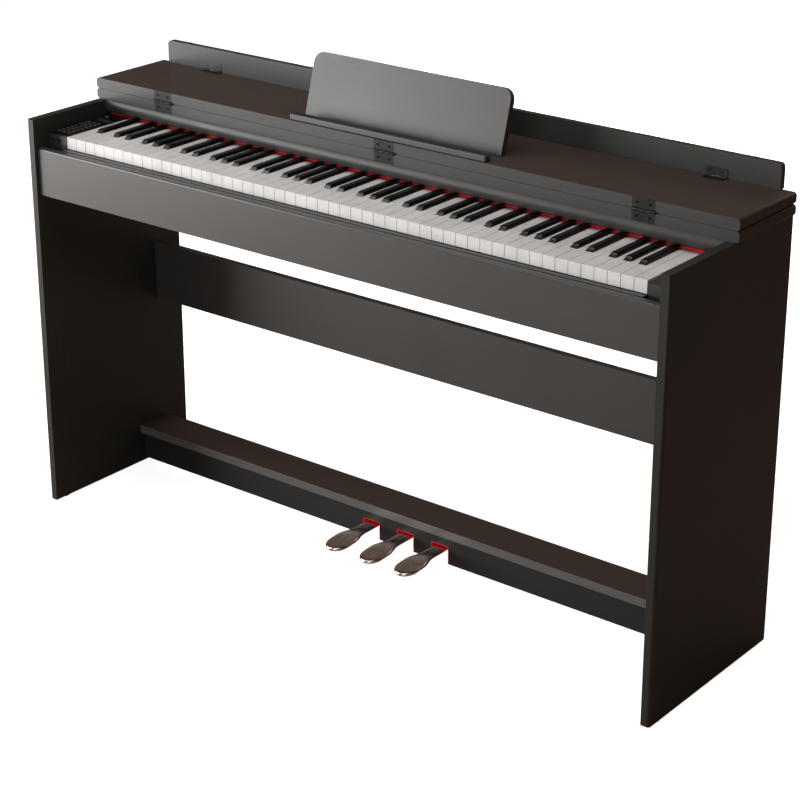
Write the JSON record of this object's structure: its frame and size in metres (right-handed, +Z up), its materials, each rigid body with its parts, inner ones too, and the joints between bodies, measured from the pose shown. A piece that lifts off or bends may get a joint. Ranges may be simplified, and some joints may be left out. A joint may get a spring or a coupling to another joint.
{
  "type": "digital piano",
  "caption": "Full-size home digital piano on a panel stand, with flip-over lid and flap, leaning music rest, control block, sprung keys and chromed pedals.",
  "frame": {"origin": "on the floor, under the middle of the case", "axes": "+X along the keyboard towards the treble, +Y to the back, +Z up"},
  "size_m": [1.356, 0.36, 0.8961],
  "materials": {
    "charcoal_laminate": "satin",
    "brown_laminate": "satin",
    "white_key_plastic": "gloss",
    "black_key_plastic": "satin",
    "black_plastic": "matte",
    "grey_plastic": "matte",
    "gloss_black_panel": "gloss",
    "dark_window": "gloss",
    "red_felt": "matte",
    "dark_steel": "satin",
    "bright_steel": "brushed",
    "pedal_chrome": "polished",
    "circuit_green": "satin"
  },
  "bodies": {
    "case": {"left_side_panel": "charcoal_laminate", "right_side_panel": "charcoal_laminate", "front_rail": "charcoal_laminate", "keybed_board": "brown_laminate", "back_panel": "brown_laminate", "top_board": "charcoal_laminate", "modesty_panel": "charcoal_laminate", "pedal_shelf": "charcoal_laminate", "pedal_front_board": "charcoal_laminate", "pedal_notch_felts": "red_felt", "pedal_bracket": "bright_steel", "pedal_axle": "bright_steel", "cam_locks": "bright_steel", "floor_glides": "black_plastic", "key_fascia": "charcoal_laminate", "red_felt_strip": "red_felt", "key_chassis": "black_plastic", "key_pivot_rod": "bright_steel", "circuit_boards": "circuit_green", "control_block": "grey_plastic", "control_overlay": "gloss_black_panel", "display_window": "dark_window", "headphone_jacks": "black_plastic", "right_cheek_block": "grey_plastic", "speakers": "black_plastic", "speaker_grilles": "black_plastic", "connection_plate": "black_plastic", "case_hinge_leaves": "dark_steel", "case_hinge_screws": "dark_steel", "lid_hinge_pins": "dark_steel"},
    "lid": {"lid_board": "charcoal_laminate", "lid_hinge_leaves": "dark_steel", "lid_screws": "dark_steel", "music_ledge": "charcoal_laminate", "small_hinge_pins": "bright_steel"},
    "flap": {"lid_flap": "charcoal_laminate", "flap_hinge_leaves": "dark_steel"},
    "music_rest": {"music_rest": "charcoal_laminate", "rest_hinge_leaves": "dark_steel"},
    "soft_pedal": {"soft_pedal": "pedal_chrome"},
    "sostenuto_pedal": {"sostenuto_pedal": "pedal_chrome"},
    "damper_pedal": {"damper_pedal": "pedal_chrome"},
    "function_buttons": {"function_buttons": "grey_plastic"},
    "power_button": {"power_button": "grey_plastic"},
    "bass_white_keys": {"bass_white_keys": "white_key_plastic"},
    "bass_black_keys": {"bass_black_keys": "black_key_plastic"},
    "treble_white_keys": {"treble_white_keys": "white_key_plastic"},
    "treble_black_keys": {"treble_black_keys": "black_key_plastic"},
    "key_c4": {"key_c4": "white_key_plastic"},
    "key_c_sharp4": {"key_c_sharp4": "black_key_plastic"},
    "key_d4": {"key_d4": "white_key_plastic"},
    "key_d_sharp4": {"key_d_sharp4": "black_key_plastic"},
    "key_e4": {"key_e4": "white_key_plastic"},
    "key_f4": {"key_f4": "white_key_plastic"},
    "key_f_sharp4": {"key_f_sharp4": "black_key_plastic"},
    "key_g4": {"key_g4": "white_key_plastic"},
    "key_g_sharp4": {"key_g_sharp4": "black_key_plastic"},
    "key_a4": {"key_a4": "white_key_plastic"},
    "key_a_sharp4": {"key_a_sharp4": "black_key_plastic"},
    "key_b4": {"key_b4": "white_key_plastic"}
  },
  "joints": [
    {"name": "lid_fold", "type": "hinge", "parent": "case", "child": "lid", "pos_m": [0, -0.0003, 0.7695], "axis": [1, 0, 0], "range_deg": [0, 180]},
    {"name": "flap_fold", "type": "hinge", "parent": "lid", "child": "flap", "pos_m": [0, 0.1657, 0.7903], "axis": [-1, 0, 0], "range_deg": [-90, 0]},
    {"name": "rest_fold", "type": "hinge", "parent": "lid", "child": "music_rest", "pos_m": [0, 0.06, 0.7903], "axis": [1, 0, 0], "range_deg": [-74.3, 0]},
    {"name": "soft_pedal_press", "type": "hinge", "parent": "case", "child": "soft_pedal", "pos_m": [0, 0.102, 0.034], "axis": [1, 0, 0], "range_deg": [0, 4.4], "stiffness_Nm_per_rad": 30, "springref_deg": -4.58},
    {"name": "sostenuto_pedal_press", "type": "hinge", "parent": "case", "child": "sostenuto_pedal", "pos_m": [0, 0.102, 0.034], "axis": [1, 0, 0], "range_deg": [0, 4.4], "stiffness_Nm_per_rad": 30, "springref_deg": -4.58},
    {"name": "damper_pedal_press", "type": "hinge", "parent": "case", "child": "damper_pedal", "pos_m": [0, 0.102, 0.034], "axis": [1, 0, 0], "range_deg": [0, 4.4], "stiffness_Nm_per_rad": 30, "springref_deg": -4.58},
    {"name": "function_buttons_press", "type": "slide", "parent": "case", "child": "function_buttons", "axis": [0, 0, -1], "range_m": [0, 0.001], "stiffness_N_per_m": 400, "springref_m": -0.002},
    {"name": "power_button_press", "type": "slide", "parent": "case", "child": "power_button", "axis": [0, 0, -1], "range_m": [0, 0.001], "stiffness_N_per_m": 50, "springref_m": -0.002},
    {"name": "bass_white_keys_press", "type": "hinge", "parent": "case", "child": "bass_white_keys", "pos_m": [0, 0.1, 0.698], "axis": [1, 0, 0], "range_deg": [0, 2.4], "stiffness_Nm_per_rad": 35, "springref_deg": -8.59},
    {"name": "bass_black_keys_press", "type": "hinge", "parent": "case", "child": "bass_black_keys", "pos_m": [0, 0.1, 0.698], "axis": [1, 0, 0], "range_deg": [0, 2.4], "stiffness_Nm_per_rad": 24, "springref_deg": -8.59},
    {"name": "treble_white_keys_press", "type": "hinge", "parent": "case", "child": "treble_white_keys", "pos_m": [0, 0.1, 0.698], "axis": [1, 0, 0], "range_deg": [0, 2.4], "stiffness_Nm_per_rad": 35, "springref_deg": -8.59},
    {"name": "treble_black_keys_press", "type": "hinge", "parent": "case", "child": "treble_black_keys", "pos_m": [0, 0.1, 0.698], "axis": [1, 0, 0], "range_deg": [0, 2.4], "stiffness_Nm_per_rad": 24, "springref_deg": -8.59},
    {"name": "key_c4_press", "type": "hinge", "parent": "case", "child": "key_c4", "pos_m": [0, 0.1, 0.698], "axis": [1, 0, 0], "range_deg": [0, 2.4], "stiffness_Nm_per_rad": 1.5, "springref_deg": -8.59},
    {"name": "key_c_sharp4_press", "type": "hinge", "parent": "case", "child": "key_c_sharp4", "pos_m": [0, 0.1, 0.698], "axis": [1, 0, 0], "range_deg": [0, 2.4], "stiffness_Nm_per_rad": 1.5, "springref_deg": -8.59},
    {"name": "key_d4_press", "type": "hinge", "parent": "case", "child": "key_d4", "pos_m": [0, 0.1, 0.698], "axis": [1, 0, 0], "range_deg": [0, 2.4], "stiffness_Nm_per_rad": 1.5, "springref_deg": -8.59},
    {"name": "key_d_sharp4_press", "type": "hinge", "parent": "case", "child": "key_d_sharp4", "pos_m": [0, 0.1, 0.698], "axis": [1, 0, 0], "range_deg": [0, 2.4], "stiffness_Nm_per_rad": 1.5, "springref_deg": -8.59},
    {"name": "key_e4_press", "type": "hinge", "parent": "case", "child": "key_e4", "pos_m": [0, 0.1, 0.698], "axis": [1, 0, 0], "range_deg": [0, 2.4], "stiffness_Nm_per_rad": 1.5, "springref_deg": -8.59},
    {"name": "key_f4_press", "type": "hinge", "parent": "case", "child": "key_f4", "pos_m": [0, 0.1, 0.698], "axis": [1, 0, 0], "range_deg": [0, 2.4], "stiffness_Nm_per_rad": 1.5, "springref_deg": -8.59},
    {"name": "key_f_sharp4_press", "type": "hinge", "parent": "case", "child": "key_f_sharp4", "pos_m": [0, 0.1, 0.698], "axis": [1, 0, 0], "range_deg": [0, 2.4], "stiffness_Nm_per_rad": 1.5, "springref_deg": -8.59},
    {"name": "key_g4_press", "type": "hinge", "parent": "case", "child": "key_g4", "pos_m": [0, 0.1, 0.698], "axis": [1, 0, 0], "range_deg": [0, 2.4], "stiffness_Nm_per_rad": 1.5, "springref_deg": -8.59},
    {"name": "key_g_sharp4_press", "type": "hinge", "parent": "case", "child": "key_g_sharp4", "pos_m": [0, 0.1, 0.698], "axis": [1, 0, 0], "range_deg": [0, 2.4], "stiffness_Nm_per_rad": 1.5, "springref_deg": -8.59},
    {"name": "key_a4_press", "type": "hinge", "parent": "case", "child": "key_a4", "pos_m": [0, 0.1, 0.698], "axis": [1, 0, 0], "range_deg": [0, 2.4], "stiffness_Nm_per_rad": 1.5, "springref_deg": -8.59},
    {"name": "key_a_sharp4_press", "type": "hinge", "parent": "case", "child": "key_a_sharp4", "pos_m": [0, 0.1, 0.698], "axis": [1, 0, 0], "range_deg": [0, 2.4], "stiffness_Nm_per_rad": 1.5, "springref_deg": -8.59},
    {"name": "key_b4_press", "type": "hinge", "parent": "case", "child": "key_b4", "pos_m": [0, 0.1, 0.698], "axis": [1, 0, 0], "range_deg": [0, 2.4], "stiffness_Nm_per_rad": 1.5, "springref_deg": -8.59}
  ],
  "couplings": [
    {"joint": "rest_fold", "follows": "lid_fold", "ratio": -0.4127}
  ]
}
